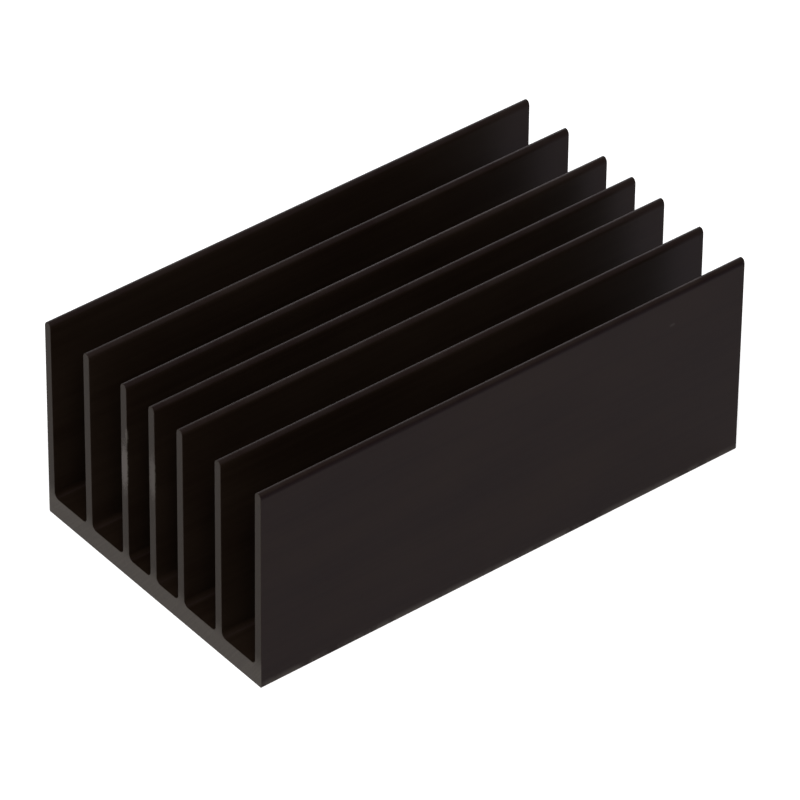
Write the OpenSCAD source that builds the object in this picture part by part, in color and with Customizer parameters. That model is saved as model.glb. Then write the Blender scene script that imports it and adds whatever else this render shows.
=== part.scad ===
// Extruded heat sink: a sawn length of aluminium profile, with upright fins on a flat base.
// The section lies in the X-Z plane and the profile runs along Y.
// The origin is the middle of the flat mounting face, with the fins pointing up +Z.

/* [Profile] */
// Overall width, across the fins
profile_w = 57; // [48:0.5:80]
// Overall height, from the mounting face to the fin tips
profile_h = 39.6; // [15:0.5:60]
// Length of profile that is sawn off
cut_length = 100; // [20:1:300]

/* [Base] */
// Thickness of the base plate
base_t = 3.9; // [2:0.1:8]
// Radius of the two long lower edges
base_edge_r = 0.2; // [0.1:0.05:1]

/* [Fins] */
// Thickness of a fin at its root
fin_root_t = 1.6; // [1.5:0.05:2.5]
// Thickness of a fin at its round tip
fin_tip_t = 1.5; // [0.8:0.05:1.6]
// Radius of the fillet between a fin and the base
root_fillet_r = 1; // [0.2:0.1:2]
// Centre distance from the middle fin to the first fin on each side
first_pitch = 7.4; // [5:0.05:9]
// Centre distance from the first fin to the second fin on each side
second_pitch = 9.95; // [7:0.05:12]

/* [Hidden] */
$fn = 64;

black_anodise = [0.15, 0.14, 0.14];

// The round tip of every fin
tip_r = fin_tip_t / 2;
tip_z = profile_h - tip_r;
fin_rise = tip_z - base_t;

// Tip centres. The outer fins stand flush with the sides of the base.
first_x = first_pitch;
second_x = first_pitch + second_pitch;
outer_x = profile_w / 2 - tip_r;

// How far a root stands out from under its tip centre. An inner fin tapers on both sides, and
// an outer fin is plumb on its outer side and takes the whole taper on its inner side.
inner_reach = fin_root_t / 2;
plumb_reach = tip_r;
outer_fin_reach = fin_root_t - tip_r;

// Fins and fillets reach this far into the metal that they grow from
root_overlap = fin_root_t / 4;
// Both ends of a fillet's arc run this far into the metal, so that it closes without a gap
arc_run_in = 0.0005;

// Angle off the vertical of a fin's side that starts at its root and runs tangent into its tip
function side_lean(reach) = acos(tip_r / norm([reach, fin_rise])) - atan2(fin_rise, reach);

// Point where a right-hand side meets its round tip
function tip_tangent(reach) =
    [0, tip_z] + tip_r * [cos(side_lean(reach)), sin(side_lean(reach))];

// Flips a point to the left-hand side
function flipped(point) = [-point[0], point[1]];

// Flat plate with its two lower edges rounded
module base_outline() {
    translate([-profile_w / 2, base_edge_r])
        square([profile_w, base_t - base_edge_r]);
    translate([-profile_w / 2 + base_edge_r, 0])
        square([profile_w - 2 * base_edge_r, base_t]);
    for (side = [-1, 1])
        translate([side * (profile_w / 2 - base_edge_r), base_edge_r])
            circle(r = base_edge_r);
}

// One fin about its tip centre line, with straight sides and a full-round tip
module fin_outline(left_reach, right_reach) {
    polygon([
        [-left_reach, base_t - root_overlap],
        [right_reach, base_t - root_overlap],
        [right_reach, base_t],
        tip_tangent(right_reach),
        flipped(tip_tangent(left_reach)),
        [-left_reach, base_t]
    ]);
    translate([0, tip_z])
        circle(r = tip_r);
}

// Metal in the corner between the base and a fin's right-hand side, hollowed to a true arc
module root_fillet(reach) {
    lean = side_lean(reach);
    centre = [
        reach + root_fillet_r * (1 - sin(lean)) / cos(lean),
        base_t + root_fillet_r
    ];
    difference() {
        polygon([
            [reach - root_overlap, base_t - root_overlap],
            [centre[0], base_t - root_overlap],
            centre,
            centre - (root_fillet_r + root_overlap) * [cos(lean), sin(lean)]
        ]);
        translate(centre)
            circle(r = root_fillet_r + arc_run_in);
    }
}

// A fin inside the profile, with a slot and a fillet on both sides
module inner_fin() {
    fin_outline(inner_reach, inner_reach);
    for (flip = [0, 1])
        mirror([flip, 0])
            root_fillet(inner_reach);
}

// The fin at the left-hand edge, flush with the base outside and filleted inside
module outer_fin() {
    fin_outline(plumb_reach, outer_fin_reach);
    root_fillet(outer_fin_reach);
}

// The whole extruded section, the same to the left and the right of the middle fin
module profile_section() {
    base_outline();
    inner_fin();
    for (flip = [0, 1])
        mirror([flip, 0]) {
            translate([-first_x, 0])
                inner_fin();
            translate([-second_x, 0])
                inner_fin();
            translate([-outer_x, 0])
                outer_fin();
        }
}

module heat_sink() {
    color(black_anodise)
        rotate([90, 0, 0])
            linear_extrude(height = cut_length, center = true)
                profile_section();
}

heat_sink();
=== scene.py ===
"""Extruded heat sink: a sawn length of black anodised aluminium profile with upright fins.

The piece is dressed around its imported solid, in the same frame and in metres: +X runs across the fins, +Y
along the slots and +Z from the mounting face up to the fin tips.
"""

from __future__ import annotations

import logging
import math
from collections.abc import Mapping
from dataclasses import dataclass, field
from enum import Enum

import bpy
from mathutils import Matrix, Vector


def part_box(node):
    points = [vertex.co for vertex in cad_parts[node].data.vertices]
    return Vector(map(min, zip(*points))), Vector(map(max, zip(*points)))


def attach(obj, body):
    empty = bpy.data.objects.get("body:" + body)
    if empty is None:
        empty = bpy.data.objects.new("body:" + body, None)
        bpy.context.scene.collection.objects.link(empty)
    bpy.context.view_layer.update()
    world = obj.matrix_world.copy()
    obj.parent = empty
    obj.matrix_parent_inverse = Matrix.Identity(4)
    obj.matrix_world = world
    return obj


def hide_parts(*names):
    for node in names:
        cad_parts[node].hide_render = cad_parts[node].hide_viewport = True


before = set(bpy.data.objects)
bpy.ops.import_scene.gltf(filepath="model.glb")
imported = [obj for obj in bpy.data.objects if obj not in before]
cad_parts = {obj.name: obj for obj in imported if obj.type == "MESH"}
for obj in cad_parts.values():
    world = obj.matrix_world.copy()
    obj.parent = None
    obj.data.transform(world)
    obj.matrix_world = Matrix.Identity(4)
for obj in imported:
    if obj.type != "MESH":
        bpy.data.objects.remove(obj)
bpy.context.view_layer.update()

LOG = logging.getLogger("heat_sink")
BODY = "root"
HEAT_SINK = "heat_sink"
PIECE = "heat_sink_profile"
MM = 0.001

Colour = tuple[float, float, float]
Point = tuple[float, float, float]
# Where a smooth step gives 0, and where it gives 1
Fade = tuple[float, float]

WHITE: Colour = (1.0, 1.0, 1.0)
# The middle of the values that a cloudy pattern takes
MIDDLE = 0.5


# Node trees -----------------------------------------------------------------------------------------------


@dataclass(frozen=True)
class Num:
    """A number socket that can be written into sums, each of which adds a Math node to its tree."""

    bench: Bench
    socket: bpy.types.NodeSocket

    def _math(self, operation: str, *numbers: Num | float) -> Num:
        """Adds one Math node.

        Args:
            operation: The Math node's operation.
            *numbers: Its inputs in order.

        Returns:
            The node's result.
        """
        names = ("Value", "Value_001", "Value_002")
        node = self.bench.add("ShaderNodeMath", {"operation": operation}, dict(zip(names, numbers)))
        return Num(self.bench, node.outputs["Value"])

    def __add__(self, other: Num | float) -> Num:
        """self + other"""
        return self._math("ADD", self, other)

    def __radd__(self, other: float) -> Num:
        """other + self"""
        return self._math("ADD", other, self)

    def __sub__(self, other: Num | float) -> Num:
        """self - other"""
        return self._math("SUBTRACT", self, other)

    def __rsub__(self, other: float) -> Num:
        """other - self"""
        return self._math("SUBTRACT", other, self)

    def __mul__(self, other: Num | float) -> Num:
        """self * other"""
        return self._math("MULTIPLY", self, other)

    def __rmul__(self, other: float) -> Num:
        """other * self"""
        return self._math("MULTIPLY", other, self)

    def __truediv__(self, other: Num | float) -> Num:
        """self / other"""
        return self._math("DIVIDE", self, other)

    def __rtruediv__(self, other: float) -> Num:
        """other / self"""
        return self._math("DIVIDE", other, self)

    def __abs__(self) -> Num:
        """abs(self)"""
        return self._math("ABSOLUTE", self)

    def above(self, limit: Num | float) -> Num:
        """1 where this is above the limit, and 0 elsewhere."""
        return self._math("GREATER_THAN", self, limit)

    def at_most(self, other: Num | float) -> Num:
        """The smaller of the two."""
        return self._math("MINIMUM", self, other)

    def at_least(self, other: Num | float) -> Num:
        """The larger of the two."""
        return self._math("MAXIMUM", self, other)

    def floor(self) -> Num:
        """The whole number at or below this."""
        return self._math("FLOOR", self)

    def sign(self) -> Num:
        """-1, 0 or 1."""
        return self._math("SIGN", self)

    def root(self) -> Num:
        """Square root."""
        return self._math("SQRT", self)

    def tan(self) -> Num:
        """Tangent of an angle in radians."""
        return self._math("TANGENT", self)

    def acos(self) -> Num:
        """Angle in radians with this cosine."""
        return self._math("ARCCOSINE", self)

    def atan2(self, run: Num | float) -> Num:
        """Angle in radians of a slope that rises by this over the run."""
        return self._math("ARCTAN2", self, run)

    def swing(self, size: float) -> Num:
        """A pattern's swing to either side of its middle, brought to a size."""
        return (self - MIDDLE) * size

    def ramp(self, start: float, end: float) -> Num:
        """Smooth step.

        Args:
            start: The value that gives 0.
            end: The value that gives 1. It may be below the start.

        Returns:
            A number from 0 to 1.
        """
        node = self.bench.add(
            "ShaderNodeMapRange",
            {"interpolation_type": "SMOOTHSTEP"},
            {"Value": self, "From Min": start, "From Max": end},
        )
        return Num(self.bench, node.outputs["Result"])

    def pick(self, low: Num | float, high: Num | float) -> Num:
        """The low number where this is 0 and the high one where it is 1, with a blend in between."""
        return self * (high - low) + low


Feed = Num | bpy.types.NodeSocket | float | int | bool | Colour | str


@dataclass(frozen=True)
class Clouding:
    """The make of a cloudy pattern: the rough size of one cloud, and how many finer layers it has."""

    size: float
    layers: float


@dataclass(frozen=True)
class Bench:
    """A node tree under construction."""

    tree: bpy.types.NodeTree

    def add(
        self,
        kind: str,
        settings: Mapping[str, object] | None = None,
        feeds: Mapping[str, Feed] | None = None,
    ) -> bpy.types.Node:
        """Adds one node.

        Args:
            kind: The node's type.
            settings: Its own settings, made before its sockets are fed.
            feeds: A value or a link for each socket, by the socket's identifier.

        Returns:
            The new node.
        """
        node = self.tree.nodes.new(kind)
        for name, value in (settings or {}).items():
            setattr(node, name, value)
        sockets = {socket.identifier: socket for socket in node.inputs}
        for name, value in (feeds or {}).items():
            self.feed(sockets[name], value)
        return node

    def feed(self, socket: bpy.types.NodeSocket, value: Feed) -> None:
        """Gives a socket its value or its link.

        Args:
            socket: The socket that is fed.
            value: A number, a link, or a constant of the socket's own kind.
        """
        if isinstance(value, Num):
            self.tree.links.new(value.socket, socket)
        elif isinstance(value, bpy.types.NodeSocket):
            self.tree.links.new(value, socket)
        elif socket.type == "RGBA":
            socket.default_value = (*value, 1.0)
        else:
            socket.default_value = value

    def offset(self, vector: bpy.types.NodeSocket, centre: Point) -> bpy.types.NodeSocket:
        """Measures a vector from a centre."""
        feeds = {"Vector": vector, "Vector_001": centre}
        return self.add("ShaderNodeVectorMath", {"operation": "SUBTRACT"}, feeds).outputs["Vector"]

    def stretched(self, vector: bpy.types.NodeSocket, factors: Point) -> bpy.types.NodeSocket:
        """Multiplies a vector along each axis."""
        feeds = {"Vector": vector, "Vector_001": factors}
        return self.add("ShaderNodeVectorMath", {"operation": "MULTIPLY"}, feeds).outputs["Vector"]

    def length(self, vector: bpy.types.NodeSocket) -> Num:
        """Measures how long a vector is."""
        node = self.add("ShaderNodeVectorMath", {"operation": "LENGTH"}, {"Vector": vector})
        return Num(self, node.outputs["Value"])

    def noise(self, vector: bpy.types.NodeSocket, clouding: Clouding) -> Num:
        """Makes a cloudy pattern.

        Args:
            vector: Where the pattern is read.
            clouding: The pattern's make.

        Returns:
            A number that varies around its middle.
        """
        feeds = {"Vector": vector, "Scale": 1.0 / clouding.size, "Detail": clouding.layers}
        node = self.add("ShaderNodeTexNoise", {"noise_dimensions": "3D"}, feeds)
        return Num(self, node.outputs["Fac"])

    def shaded(self, colour: bpy.types.NodeSocket, level: Num) -> bpy.types.NodeSocket:
        """Makes a colour lighter or darker by a number that varies around 1."""
        feeds = {"Vector": colour, "Scale": level}
        return self.add("ShaderNodeVectorMath", {"operation": "SCALE"}, feeds).outputs["Vector"]

    def blend(self, mask: Num, low: Feed, high: Feed) -> bpy.types.NodeSocket:
        """Mixes two colours.

        Args:
            mask: How much of the second colour shows, from 0 to 1.
            low: The colour where the mask is 0.
            high: The colour where the mask is 1.

        Returns:
            The mixed colour.
        """
        feeds = {"Factor_Float": mask, "A_Color": low, "B_Color": high}
        mix = self.add("ShaderNodeMix", {"data_type": "RGBA"}, feeds)
        return next(socket for socket in mix.outputs if socket.identifier == "Result_Color")


# Finish ---------------------------------------------------------------------------------------------------


@dataclass(frozen=True)
class Extent:
    """How far the profile reaches from the middle of its mounting face, and the size of its broken edges."""

    half_width: float
    half_length: float
    height: float
    broken_edge: float


@dataclass(frozen=True)
class SurfacePoint:
    """Any point of the surface: its place, and the patterns that are read there."""

    place: bpy.types.NodeSocket
    x: Num
    y: Num
    z: Num
    clouds: Num
    lines: Num
    grain: Num
    cuts: Num


@dataclass(frozen=True)
class Patterns:
    """What the dye bath, the die and the saw leave on the metal.

    Along the profile the clouds are read at a slower pace, which draws them out, and the die's lines are
    drawn out to a length. The saw's cuts are arcs about the middle of its blade, which is given as X and Z,
    and they wander by a share of their pitch.
    """

    clouds: Clouding = Clouding(14 * MM, 3.0)
    cloud_pace: float = 0.45
    lines: Clouding = Clouding(0.9 * MM, 4.0)
    line_length: float = 160 * MM
    grain: Clouding = Clouding(0.28 * MM, 2.0)
    cuts: Clouding = Clouding(0.34 * MM, 2.0)
    cut_wander: float = 0.3
    blade_middle: tuple[float, float] = (-0.16, 0.13)

    def read(self, bench: Bench) -> SurfacePoint:
        """Reads every pattern on the surface.

        Args:
            bench: The material's tree.

        Returns:
            The point that the material is worked out for.
        """
        place = bench.add("ShaderNodeTexCoord").outputs["Object"]
        split = bench.add("ShaderNodeSeparateXYZ", {}, {"Vector": place})
        x, y, z = (Num(bench, split.outputs[name]) for name in "XYZ")

        clouds = bench.noise(bench.stretched(place, (1.0, self.cloud_pace, 1.0)), self.clouds)
        drawn_out = bench.stretched(place, (1.0, self.lines.size / self.line_length, 1.0))
        lines = bench.noise(drawn_out, self.lines)
        grain = bench.noise(place, self.grain)

        across = x - self.blade_middle[0]
        up = z - self.blade_middle[1]
        radius = (across * across + up * up).root()
        wander = grain * (self.cut_wander * self.cuts.size)
        sweep = bench.add("ShaderNodeCombineXYZ", {}, {"X": radius, "Y": wander})
        cuts = bench.noise(sweep.outputs["Vector"], self.cuts)
        return SurfacePoint(place, x, y, z, clouds, lines, grain, cuts)


@dataclass(frozen=True)
class ExtrudedSkin:
    """The dyed skin that left the die: clouds of tone, with fine lines along the profile."""

    deep: Colour = (0.0056, 0.0031, 0.0018)
    light: Colour = (0.0108, 0.0068, 0.0044)
    cloud_tone: float = 1.1
    line_tone: float = 0.8
    mean_roughness: float = 0.40
    cloud_roughness: float = 0.14
    line_roughness: float = 0.12
    line_relief: float = 0.7
    grain_relief: float = 0.3

    def colour(self, bench: Bench, point: SurfacePoint) -> bpy.types.NodeSocket:
        """Finds the skin's colour, between the deep and the light one."""
        tone = MIDDLE + point.clouds.swing(self.cloud_tone) + point.lines.swing(self.line_tone)
        return bench.blend(tone.ramp(0.0, 1.0), self.deep, self.light)

    def roughness(self, point: SurfacePoint) -> Num:
        """Finds how rough the skin is."""
        clouded = self.mean_roughness + point.clouds.swing(self.cloud_roughness)
        return clouded + point.lines.swing(self.line_roughness)

    def relief(self, point: SurfacePoint) -> Num:
        """Finds the height of the skin's lines and grain."""
        return point.lines * self.line_relief + point.grain * self.grain_relief


@dataclass(frozen=True)
class PaintedFlankShade:
    """Painted shade: a dark band along the outer faces, just under their crowns, where the flanks turn from
    the light.

    It fades in below the tips, fades out again further down, and shows on the outer faces alone.
    """

    # Colour of the painted shade under the crowns of the outer faces
    colour: Colour = (0.0026, 0.0009, 0.0001)
    strength: float = 0.9
    upper_side: Fade = (0.1 * MM, 0.5 * MM)
    lower_side: Fade = (1.4 * MM, 0.75 * MM)
    inset: Fade = (0.75 * MM, 0.5 * MM)

    def mask(self, point: SurfacePoint, extent: Extent) -> Num:
        """Finds the painted shade.

        Args:
            point: The point of the surface.
            extent: The profile's reach.

        Returns:
            How much of the painted shade shows, from 0 to 1.
        """
        drop = extent.height - point.z
        outer = (extent.half_width - abs(point.x)).ramp(*self.inset)
        return drop.ramp(*self.upper_side) * drop.ramp(*self.lower_side) * outer * self.strength


@dataclass(frozen=True)
class SawnEnds:
    """The paler, rougher ends, with the curved marks of the saw.

    The base is paler than the fins. The border with the skin lies in the broken edge: its fade is in broken
    edges from the end.
    """

    fin_colour: Colour = (0.0255, 0.0208, 0.0158)
    base_colour: Colour = (0.0605, 0.0530, 0.0450)
    fin_to_base: Fade = (7.0 * MM, 3.0 * MM)
    border: Fade = (1.1, 0.3)
    contrast: float = 0.45
    cut_marks: float = 1.6
    grain_marks: float = 0.9
    mean_roughness: float = 0.52
    cut_roughness: float = 0.2
    cut_relief: float = 0.9
    grain_relief: float = 0.5

    def mask(self, point: SurfacePoint, extent: Extent) -> Num:
        """Finds the sawn ends.

        Args:
            point: The point of the surface.
            extent: The profile's reach.

        Returns:
            1 on the sawn ends and 0 on the extruded skin.
        """
        edge = extent.broken_edge
        depth = extent.half_length - abs(point.y)
        start, end = self.border
        return (depth + point.grain.swing(edge)).ramp(start * edge, end * edge)

    def colour(self, bench: Bench, point: SurfacePoint) -> bpy.types.NodeSocket:
        """Finds the colour of the sawn ends.

        Args:
            bench: The material's tree.
            point: The point of the surface.

        Returns:
            The colour with its saw marks.
        """
        plain = bench.blend(point.z.ramp(*self.fin_to_base), self.fin_colour, self.base_colour)
        marks = point.cuts.swing(self.cut_marks) + point.grain.swing(self.grain_marks)
        return bench.shaded(plain, 1 + marks * self.contrast)

    def roughness(self, point: SurfacePoint) -> Num:
        """Finds how rough the sawn ends are."""
        return self.mean_roughness + point.cuts.swing(self.cut_roughness)

    def relief(self, point: SurfacePoint) -> Num:
        """Finds the height of the saw's cuts and the grain."""
        return point.cuts * self.cut_relief + point.grain * self.grain_relief


@dataclass(frozen=True)
class RubbedSpot:
    """A spot where something has rubbed the anodising thin."""

    centre: Point
    reach: Point
    strength: float


@dataclass(frozen=True)
class WearAndPaintedLight:
    """Handling thins the anodising in spots; paler bands on lower edges and crowns are partly painted light.
    """

    metal: Colour = (0.150, 0.138, 0.118)
    roughness: float = 0.36
    metallic: float = 0.35
    patches: Clouding = Clouding(5.0 * MM, 3.0)
    patch_raggedness: float = 0.3
    patch_fade: Fade = (0.35, 0.60)
    # Paler band along the long lower edges: partly wear, partly painted light rimming those edges
    edge_wear_and_light_reach: float = 1.6 * MM
    edge_wear_and_light_strength: float = 0.30
    # Paler crowns: partly wear, partly a painted highlight along the ridges
    crown_wear_and_highlight_reach: float = 0.8 * MM
    crown_wear_and_highlight_strength: float = 0.02
    spot_raggedness: float = 1.4
    spot_fade: Fade = (1.0, 0.45)
    spots: tuple[RubbedSpot, ...] = (
        RubbedSpot((-7.40 * MM, -50 * MM, 22.8 * MM), (1.50 * MM, 0.30 * MM, 6.0 * MM), 0.38),
        RubbedSpot((-6.75 * MM, -50 * MM, 29.4 * MM), (0.35 * MM, 0.40 * MM, 1.9 * MM), 0.30),
        RubbedSpot((0.20 * MM, -50 * MM, 25.4 * MM), (1.10 * MM, 0.30 * MM, 5.6 * MM), 0.24),
        RubbedSpot((-8.00 * MM, 20 * MM, 39.3 * MM), (0.85 * MM, 110 * MM, 1.0 * MM), 0.10),
        RubbedSpot((28.50 * MM, 34.7 * MM, 33.3 * MM), (0.50 * MM, 0.65 * MM, 0.35 * MM), 0.11),
    )

    def handled_and_painted_light(self, bench: Bench, point: SurfacePoint, extent: Extent) -> Num:
        """Finds the paler bands along the long lower edges and on the crowns, part wear and part painted
        light.

        Args:
            bench: The material's tree.
            point: The point of the surface.
            extent: The profile's reach.

        Returns:
            How far the skin is paled by wear and painted light, from 0 to 1.
        """
        patches = bench.noise(point.place, self.patches) + point.grain.swing(self.patch_raggedness)
        inset = extent.half_width - abs(point.x)
        from_edge = (inset * inset + point.z * point.z).root()
        # Painted light: a paler band along the long lower edges, partly wear and partly light rimming them
        edges = from_edge.ramp(self.edge_wear_and_light_reach, 0.0) * self.edge_wear_and_light_strength
        # Painted highlight: paler metal along the crowns, partly wear and partly a brighter ridge highlight
        crowns = point.z.ramp(extent.height - self.crown_wear_and_highlight_reach, extent.height) * self.crown_wear_and_highlight_strength
        return edges.at_least(crowns) * patches.ramp(*self.patch_fade)

    def rubbed(self, bench: Bench, point: SurfacePoint) -> Num | float:
        """Finds the rubbed spots.

        Args:
            bench: The material's tree.
            point: The point of the surface.

        Returns:
            How worn the spots are, from 0 to 1.
        """
        worn: Num | float = 0.0
        for spot in self.spots:
            offset = bench.offset(point.place, spot.centre)
            shrunk = bench.stretched(offset, tuple(1.0 / size for size in spot.reach))
            distance = bench.length(shrunk) + point.grain.swing(self.spot_raggedness)
            worn = (distance.ramp(*self.spot_fade) * spot.strength).at_least(worn)
        return worn

    def mask(self, bench: Bench, point: SurfacePoint, extent: Extent, sawn: Num) -> Num:
        """Finds all the wear, with the painted light along the lower edges and on the crowns.

        Args:
            bench: The material's tree.
            point: The point of the surface.
            extent: The profile's reach.
            sawn: 1 on the sawn ends, which only the rubbed spots reach.

        Returns:
            How much of the bare metal's colour shows, from 0 to 1.
        """
        handled_and_painted_light = self.handled_and_painted_light(bench, point, extent) * (1 - sawn)
        rubbed = self.rubbed(bench, point)
        return handled_and_painted_light.at_least(rubbed)


@dataclass(frozen=True)
class BlackAnodising:
    """Dyed black anodising on an extruded, sawn and handled length of aluminium, with some painted shade and
    light.
    """

    patterns: Patterns = Patterns()
    skin: ExtrudedSkin = ExtrudedSkin()
    # Painted shade under the crowns of the outer faces
    painted_flank_shade: PaintedFlankShade = PaintedFlankShade()
    ends: SawnEnds = SawnEnds()
    wear_and_painted_light: WearAndPaintedLight = WearAndPaintedLight()
    specular_level: float = 0.055
    specular_tint: Colour = (0.96, 0.65, 1.0)
    relief_depth: float = 0.012 * MM

    def build(self, extent: Extent) -> bpy.types.Material:
        """Builds the material.

        Args:
            extent: The profile's reach.

        Returns:
            The finished material.
        """
        material = bpy.data.materials.new("black_anodising")
        material.use_nodes = True
        material.node_tree.nodes.clear()
        bench = Bench(material.node_tree)
        point = self.patterns.read(bench)

        sawn = self.ends.mask(point, extent)
        # Wear, with painted light along the lower edges and a painted highlight on the crowns
        worn_and_painted_light = self.wear_and_painted_light.mask(bench, point, extent, sawn)
        # Painted shade under the outer crowns, blended into the skin's colour
        flank_shade = self.painted_flank_shade.mask(point, extent)
        skin = bench.blend(flank_shade, self.skin.colour(bench, point), self.painted_flank_shade.colour)
        unworn = bench.blend(sawn, skin, self.ends.colour(bench, point))
        colour = bench.blend(worn_and_painted_light, unworn, self.wear_and_painted_light.metal)
        unworn_roughness = sawn.pick(self.skin.roughness(point), self.ends.roughness(point))
        relief = sawn.pick(self.skin.relief(point), self.ends.relief(point))
        bump_feeds = {"Strength": 1.0, "Distance": self.relief_depth, "Height": relief}
        bump = bench.add("ShaderNodeBump", {}, bump_feeds)
        shader = bench.add(
            "ShaderNodeBsdfPrincipled",
            {},
            {
                "Base Color": colour,
                "Metallic": worn_and_painted_light * self.wear_and_painted_light.metallic,
                "Roughness": worn_and_painted_light.pick(unworn_roughness, self.wear_and_painted_light.roughness),
                "Specular IOR Level": self.specular_level,
                "Specular Tint": self.specular_tint,
                "Normal": bump.outputs["Normal"],
            },
        )
        bench.add("ShaderNodeOutputMaterial", {}, {"Surface": shader.outputs["BSDF"]})
        return material


# Profile --------------------------------------------------------------------------------------------------


class Size(Enum):
    """The named inputs of the profile's tree that are numbers."""

    WIDTH = "Width"
    HEIGHT = "Height"
    LENGTH = "Length"
    BASE_THICKNESS = "Base Thickness"
    BASE_EDGE_RADIUS = "Base Edge Radius"
    FIN_ROOT_THICKNESS = "Fin Root Thickness"
    FIN_TIP_THICKNESS = "Fin Tip Thickness"
    CROWN_DEPTH = "Crown Depth"
    ROOT_FILLET_RADIUS = "Root Fillet Radius"
    FIRST_PITCH = "First Pitch"
    SECOND_PITCH = "Second Pitch"


class Count(Enum):
    """The named inputs of the profile's tree that are whole numbers."""

    FINS = "Fins"
    ARC_POINTS = "Arc Points"


@dataclass
class FinnedProfile:
    """The whole heat sink: one sawn length of extruded profile.

    The section is walked from the lower left corner of the base to its lower right corner. Each fin gives
    four corners: its left foot, the left and right corner of its tip, and its right foot. The outer foot of
    an outer fin is the lower corner of the base. Every corner is then rounded with its own radius, so that
    the two corners of a tip meet in one full round, which is drawn out into a slightly pointed crown.
    """

    width: float
    height: float
    length: float
    base_thickness: float = 3.9 * MM
    base_edge_radius: float = 0.2 * MM
    fin_root_thickness: float = 1.6 * MM
    fin_tip_thickness: float = 1.5 * MM
    crown_depth: float = 1.1 * MM
    root_fillet_radius: float = 1.0 * MM
    first_pitch: float = 7.4 * MM
    second_pitch: float = 9.95 * MM
    fins: int = 7
    corners_per_fin: int = 4
    arc_points: int = 14
    tip_margin: float = 0.01 * MM
    weld_distance: float = 0.002 * MM
    broken_edge: float = 0.08 * MM
    broken_edge_steps: int = 3
    broken_edge_angle: float = 60.0
    finish: BlackAnodising = field(default_factory=BlackAnodising)

    def settings(self) -> dict[Size | Count, float | int]:
        """Lists the tree's inputs.

        Returns:
            The value of every number that the tree takes.
        """
        return {
            Size.WIDTH: self.width,
            Size.HEIGHT: self.height,
            Size.LENGTH: self.length,
            Size.BASE_THICKNESS: self.base_thickness,
            Size.BASE_EDGE_RADIUS: self.base_edge_radius,
            Size.FIN_ROOT_THICKNESS: self.fin_root_thickness,
            Size.FIN_TIP_THICKNESS: self.fin_tip_thickness,
            Size.CROWN_DEPTH: self.crown_depth,
            Size.ROOT_FILLET_RADIUS: self.root_fillet_radius,
            Size.FIRST_PITCH: self.first_pitch,
            Size.SECOND_PITCH: self.second_pitch,
            Count.FINS: self.fins,
            Count.ARC_POINTS: self.arc_points,
        }

    def extent(self) -> Extent:
        """The profile's reach, for its finish."""
        return Extent(self.width / 2, self.length / 2, self.height, self.broken_edge)

    def corners(self, bench: Bench, size: Mapping[Size, Num], fins: Num) -> tuple[Num, Num, Num]:
        """Works out the corners of the section from their places in the row.

        Whole numbers are told apart at the half steps between them, where rounding can't tip them.

        Args:
            bench: The tree's bench.
            size: The tree's sizes.
            fins: How many fins the profile has.

        Returns:
            Each corner's place across the profile, its height, and its radius.
        """
        row = Num(bench, bench.add("GeometryNodeInputIndex").outputs["Index"])
        half_step = 0.5
        fin = ((row + half_step) / self.corners_per_fin).floor()
        spot = row - fin * self.corners_per_fin
        middle_spot = (self.corners_per_fin - 1) / 2
        side = spot.above(middle_spot) * 2 - 1
        tip = 1 - abs(spot - middle_spot).above(1)
        last_rank = (fins - 1) / 2
        rank = fin - last_rank
        outer = abs(rank).above(last_rank - half_step)
        outward = (rank * side).above(last_rank - half_step)

        tip_radius = size[Size.FIN_TIP_THICKNESS] / 2
        near = abs(rank).at_most(1) * size[Size.FIRST_PITCH]
        far = (abs(rank) - 1).at_least(0) * size[Size.SECOND_PITCH]
        centre = rank.sign() * outer.pick(near + far, size[Size.WIDTH] / 2 - tip_radius)

        root = size[Size.FIN_ROOT_THICKNESS]
        reach = outward.pick(outer.pick(root / 2, root - tip_radius), tip_radius)
        rise = size[Size.HEIGHT] - tip_radius - size[Size.BASE_THICKNESS]
        slant = (reach * reach + rise * rise).root()
        lean = (tip_radius / slant).acos() - rise.atan2(reach)
        taper = lean.tan() * (size[Size.HEIGHT] - size[Size.BASE_THICKNESS])

        across = centre + side * (reach - tip * taper)
        foot_height = (1 - outward) * size[Size.BASE_THICKNESS]
        foot_radius = outward.pick(size[Size.ROOT_FILLET_RADIUS], size[Size.BASE_EDGE_RADIUS])
        return across, tip.pick(foot_height, size[Size.HEIGHT]), tip.pick(foot_radius, tip_radius)

    def crowned(
        self,
        bench: Bench,
        section: bpy.types.NodeSocket,
        size: Mapping[Size, Num],
    ) -> bpy.types.NodeSocket:
        """Draws the round tips out into slightly pointed crowns, which run on into the flanks.

        Each point of a tip is lowered by its drop below the top to the power of 1.5.

        Args:
            bench: The tree's bench.
            section: The section with its round tips.
            size: The tree's sizes.

        Returns:
            The section with its crowns.
        """
        place = bench.add("GeometryNodeInputPosition").outputs["Position"]
        split = bench.add("ShaderNodeSeparateXYZ", {}, {"Vector": place})
        height = Num(bench, split.outputs["Y"])
        tip_radius = size[Size.FIN_TIP_THICKNESS] / 2
        drop = size[Size.HEIGHT] - height
        tip = 1 - drop.above(tip_radius + self.tip_margin)
        share = drop / tip_radius
        lowered = share * share.root() * (size[Size.CROWN_DEPTH] - tip_radius) * tip
        moved = bench.add("ShaderNodeCombineXYZ", {}, {"X": split.outputs["X"], "Y": height - lowered})
        feeds = {"Geometry": section, "Position": moved.outputs["Vector"]}
        return bench.add("GeometryNodeSetPosition", {}, feeds).outputs["Geometry"]

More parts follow.
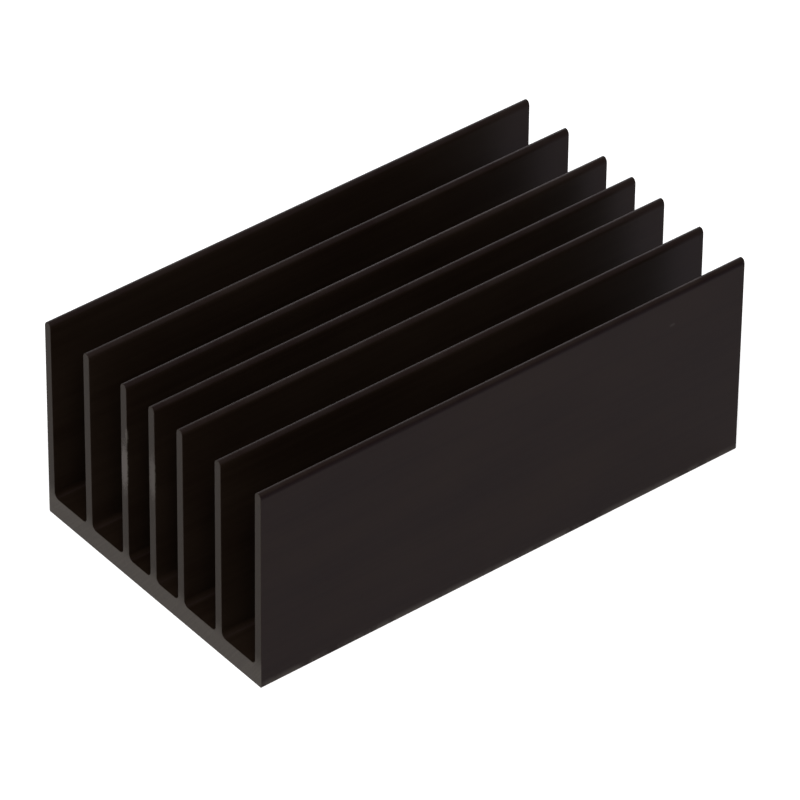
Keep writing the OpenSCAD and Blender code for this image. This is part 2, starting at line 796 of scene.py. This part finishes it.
    def section(
        self,
        bench: Bench,
        size: Mapping[Size, Num],
        count: Mapping[Count, Num],
    ) -> bpy.types.NodeSocket:
        """Draws the section.

        Args:
            bench: The tree's bench.
            size: The tree's sizes.
            count: The tree's whole numbers.

        Returns:
            The closed outline of the section, flat on the ground.
        """
        resolution = count[Count.FINS] * self.corners_per_fin
        ring = bench.add("GeometryNodeCurvePrimitiveCircle", {"mode": "RADIUS"}, {"Resolution": resolution})
        across, height, radius = self.corners(bench, size, count[Count.FINS])
        corner = bench.add("ShaderNodeCombineXYZ", {}, {"X": across, "Y": height})
        outline_feeds = {"Geometry": ring.outputs["Curve"], "Position": corner.outputs["Vector"]}
        outline = bench.add("GeometryNodeSetPosition", {}, outline_feeds)
        rounded = bench.add(
            "GeometryNodeFilletCurve",
            {"mode": "POLY"},
            {"Curve": outline.outputs["Geometry"], "Count": count[Count.ARC_POINTS], "Radius": radius},
        )
        return self.crowned(bench, rounded.outputs["Curve"], size)

    def tree(self) -> bpy.types.NodeTree:
        """Builds the profile's tree.

        Returns:
            A tree that draws the section, sweeps it along the length, stands it on its base and turns its
            faces outward.
        """
        tree = bpy.data.node_groups.new("finned_profile", "GeometryNodeTree")
        tree.interface.new_socket("Geometry", in_out="OUTPUT", socket_type="NodeSocketGeometry")
        for entry in Size:
            tree.interface.new_socket(entry.value, in_out="INPUT", socket_type="NodeSocketFloat")
        for entry in Count:
            tree.interface.new_socket(entry.value, in_out="INPUT", socket_type="NodeSocketInt")
        tree.interface.new_socket("Finish", in_out="INPUT", socket_type="NodeSocketMaterial")
        bench = Bench(tree)
        given = bench.add("NodeGroupInput").outputs
        size = {entry: Num(bench, given[entry.value]) for entry in Size}
        count = {entry: Num(bench, given[entry.value]) for entry in Count}

        half = size[Size.LENGTH] / 2
        ends = [bench.add("ShaderNodeCombineXYZ", {}, {"Z": half * way}) for way in (-1, 1)]
        path = bench.add(
            "GeometryNodeCurvePrimitiveLine",
            {"mode": "POINTS"},
            {"Start": ends[0].outputs["Vector"], "End": ends[1].outputs["Vector"]},
        )
        section = self.section(bench, size, count)
        sweep_feeds = {"Curve": path.outputs["Curve"], "Profile Curve": section, "Fill Caps": True}
        swept = bench.add("GeometryNodeCurveToMesh", {}, sweep_feeds)
        upright = {"Geometry": swept.outputs["Mesh"], "Rotation": (math.pi / 2, 0.0, 0.0)}
        stood = bench.add("GeometryNodeTransform", {}, upright)
        outward = bench.add("GeometryNodeFlipFaces", {}, {"Mesh": stood.outputs["Geometry"]})
        weld = {"Geometry": outward.outputs["Mesh"], "Distance": self.weld_distance}
        welded = bench.add("GeometryNodeMergeByDistance", {}, weld)
        smooth = bench.add("GeometryNodeSetShadeSmooth", {}, {"Geometry": welded.outputs["Geometry"]})
        plain = bench.add("GeometryNodeRealizeInstances", {}, {"Geometry": smooth.outputs["Geometry"]})
        dress = {"Geometry": plain.outputs["Geometry"], "Material": given["Finish"]}
        dressed = bench.add("GeometryNodeSetMaterial", {}, dress)
        bench.add("NodeGroupOutput", {}, {"Socket_0": dressed.outputs["Geometry"]})
        return tree

    def build(self) -> bpy.types.Object:
        """Makes the heat sink.

        Returns:
            The finished piece, a plain mesh that rides on the body and stands for the CAD node.
        """
        tree = self.tree()
        draft = bpy.data.objects.new("draft", bpy.data.meshes.new("draft"))
        bpy.context.scene.collection.objects.link(draft)
        nodes = draft.modifiers.new("profile", "NODES")
        nodes.node_group = tree
        identifiers = {item.name: item.identifier for item in tree.interface.items_tree}
        for entry, value in self.settings().items():
            nodes[identifiers[entry.value]] = value
        nodes[identifiers["Finish"]] = self.finish.build(self.extent())
        edges = draft.modifiers.new("broken_edges", "BEVEL")
        edges.width = self.broken_edge
        edges.segments = self.broken_edge_steps
        edges.limit_method = "ANGLE"
        edges.angle_limit = math.radians(self.broken_edge_angle)
        edges.use_clamp_overlap = False
        shading = draft.modifiers.new("flat_faces", "WEIGHTED_NORMAL")
        shading.keep_sharp = True

        evaluated = draft.evaluated_get(bpy.context.evaluated_depsgraph_get())
        mesh = bpy.data.meshes.new_from_object(evaluated)
        mesh.name = PIECE
        bpy.data.objects.remove(draft)
        piece = bpy.data.objects.new(PIECE, mesh)
        bpy.context.scene.collection.objects.link(piece)
        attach(piece, BODY)
        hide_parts(HEAT_SINK)
        return piece


# Studio ---------------------------------------------------------------------------------------------------


@dataclass(frozen=True)
class Softbox:
    """A square softbox that faces the heat sink.

    Its bearing is 0 in front, where Y is least, and 90 on the right. Both angles are in degrees.
    """

    name: str
    bearing: float
    climb: float
    watts: float
    distance: float = 1.6
    side: float = 0.9

    def build(self, target: Vector) -> bpy.types.Object:
        """Hangs the softbox.

        Args:
            target: The point that it faces.

        Returns:
            The lamp.
        """
        lamp = bpy.data.lights.new(self.name, "AREA")
        lamp.shape = "SQUARE"
        lamp.size = self.side
        lamp.energy = self.watts
        box = bpy.data.objects.new(self.name, lamp)
        bearing = math.radians(self.bearing)
        climb = math.radians(self.climb)
        away = Vector(
            (
                math.sin(bearing) * math.cos(climb),
                -math.cos(bearing) * math.cos(climb),
                math.sin(climb),
            )
        )
        box.location = target + away * self.distance
        box.rotation_euler = away.to_track_quat("Z", "Y").to_euler()
        bpy.context.scene.collection.objects.link(box)
        return box


@dataclass(frozen=True)
class Viewpoint:
    """A long lens that looks down at the front right corner.

    Its place is in metres and its angles are in degrees, and it looks straight down before it is tilted up
    to its climb. The lens and the sensor are in millimetres.
    """

    place: Point = (0.74512, -0.60162, 0.77289)
    bearing: float = 51.0397
    climb: float = 38.2915
    roll: float = 0.6823
    lens: float = 334.321
    sensor: float = 36.0
    nearest: float = 0.05
    furthest: float = 50.0

    def build(self) -> bpy.types.Object:
        """Sets up the camera and makes it the scene's own.

        Returns:
            The camera.
        """
        camera = bpy.data.cameras.new("camera")
        camera.lens = self.lens
        camera.sensor_width = self.sensor
        camera.clip_start = self.nearest
        camera.clip_end = self.furthest
        holder = bpy.data.objects.new("camera", camera)
        bearing = Matrix.Rotation(math.radians(self.bearing), 4, "Z")
        tilt = Matrix.Rotation(math.radians(90 - self.climb), 4, "X")
        roll = Matrix.Rotation(math.radians(self.roll), 4, "Z")
        holder.matrix_world = Matrix.Translation(self.place) @ (bearing @ tilt @ roll)
        bpy.context.scene.collection.objects.link(holder)
        bpy.context.scene.camera = holder
        return holder


@dataclass(frozen=True)
class Studio:
    """White floor and surroundings, with soft lamps at a plain level."""

    floor_side: float = 8.0
    floor_gap: float = 0.05 * MM
    floor_colour: Colour = (0.80, 0.80, 0.80)
    floor_lift: float = 0.50
    sky_grey: float = 0.30
    lamps: tuple[Softbox, ...] = (
        Softbox("key_softbox", bearing=45, climb=52, watts=23.3),
        Softbox("rim_softbox", bearing=225, climb=22, watts=8.0),
    )

    def shown(self, bench: Bench) -> Num:
        """Finds the rays that look at the surroundings, straight on, mirrored or through something.

        Args:
            bench: The tree of the floor's or the surroundings' own look.

        Returns:
            1 for such a ray, and 0 for one that carries light.
        """
        path = bench.add("ShaderNodeLightPath").outputs
        straight = Num(bench, path["Is Camera Ray"])
        mirrored = Num(bench, path["Is Glossy Ray"])
        through = Num(bench, path["Is Transmission Ray"])
        return straight.at_least(mirrored).at_least(through)

    def sky(self) -> None:
        """Makes the surroundings: a grey that lights the scene, seen as white."""
        world = bpy.data.worlds.new("studio")
        world.use_nodes = True
        world.node_tree.nodes.clear()
        bench = Bench(world.node_tree)
        grey = (self.sky_grey,) * 3
        colour = bench.blend(self.shown(bench), grey, WHITE)
        light = bench.add("ShaderNodeBackground", {}, {"Color": colour, "Strength": 1.0})
        bench.add("ShaderNodeOutputWorld", {}, {"Surface": light.outputs["Background"]})
        bpy.context.scene.world = world

    def paper(self) -> bpy.types.Material:
        """Makes the floor's material.

        Returns:
            A pale paper that is lifted to white where it is looked at, and keeps its shadows.
        """
        material = bpy.data.materials.new("floor_paper")
        material.use_nodes = True
        material.node_tree.nodes.clear()
        bench = Bench(material.node_tree)
        paper = bench.add("ShaderNodeBsdfDiffuse", {}, {"Color": self.floor_colour})
        glow = {"Color": WHITE, "Strength": self.shown(bench) * self.floor_lift}
        lift = bench.add("ShaderNodeEmission", {}, glow)
        parts = {"Shader": paper.outputs["BSDF"], "Shader_001": lift.outputs["Emission"]}
        both = bench.add("ShaderNodeAddShader", {}, parts)
        bench.add("ShaderNodeOutputMaterial", {}, {"Surface": both.outputs["Shader"]})
        return material

    def floor(self) -> bpy.types.Object:
        """Lays the floor.

        Returns:
            The floor, a pale sheet just under the mounting face.
        """
        half = self.floor_side / 2
        level = -self.floor_gap
        corners = [(-half, -half, level), (half, -half, level), (half, half, level), (-half, half, level)]
        mesh = bpy.data.meshes.new("floor")
        mesh.from_pydata(corners, [], [(0, 1, 2, 3)])
        mesh.materials.append(self.paper())
        sheet = bpy.data.objects.new("floor", mesh)
        bpy.context.scene.collection.objects.link(sheet)
        return sheet

    def build(self, target: Vector) -> None:
        """Sets the whole studio up.

        Args:
            target: The point that the lamps face.
        """
        self.sky()
        self.floor()
        for lamp in self.lamps:
            lamp.build(target)


# Assembly -------------------------------------------------------------------------------------------------


def main() -> None:
    """Builds the heat sink and its studio."""
    logging.basicConfig(level=logging.INFO, format="%(name)s: %(message)s")
    bpy.context.scene.view_settings.view_transform = "Standard"
    low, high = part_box(HEAT_SINK)
    extent = high - low
    Viewpoint().build()
    Studio().build((low + high) / 2)
    profile = FinnedProfile(width=extent.x, height=extent.z, length=extent.y)
    piece = profile.build()
    LOG.info("%s: %d fins, %d faces", piece.name, profile.fins, len(piece.data.polygons))


if __name__ == "__main__":
    main()
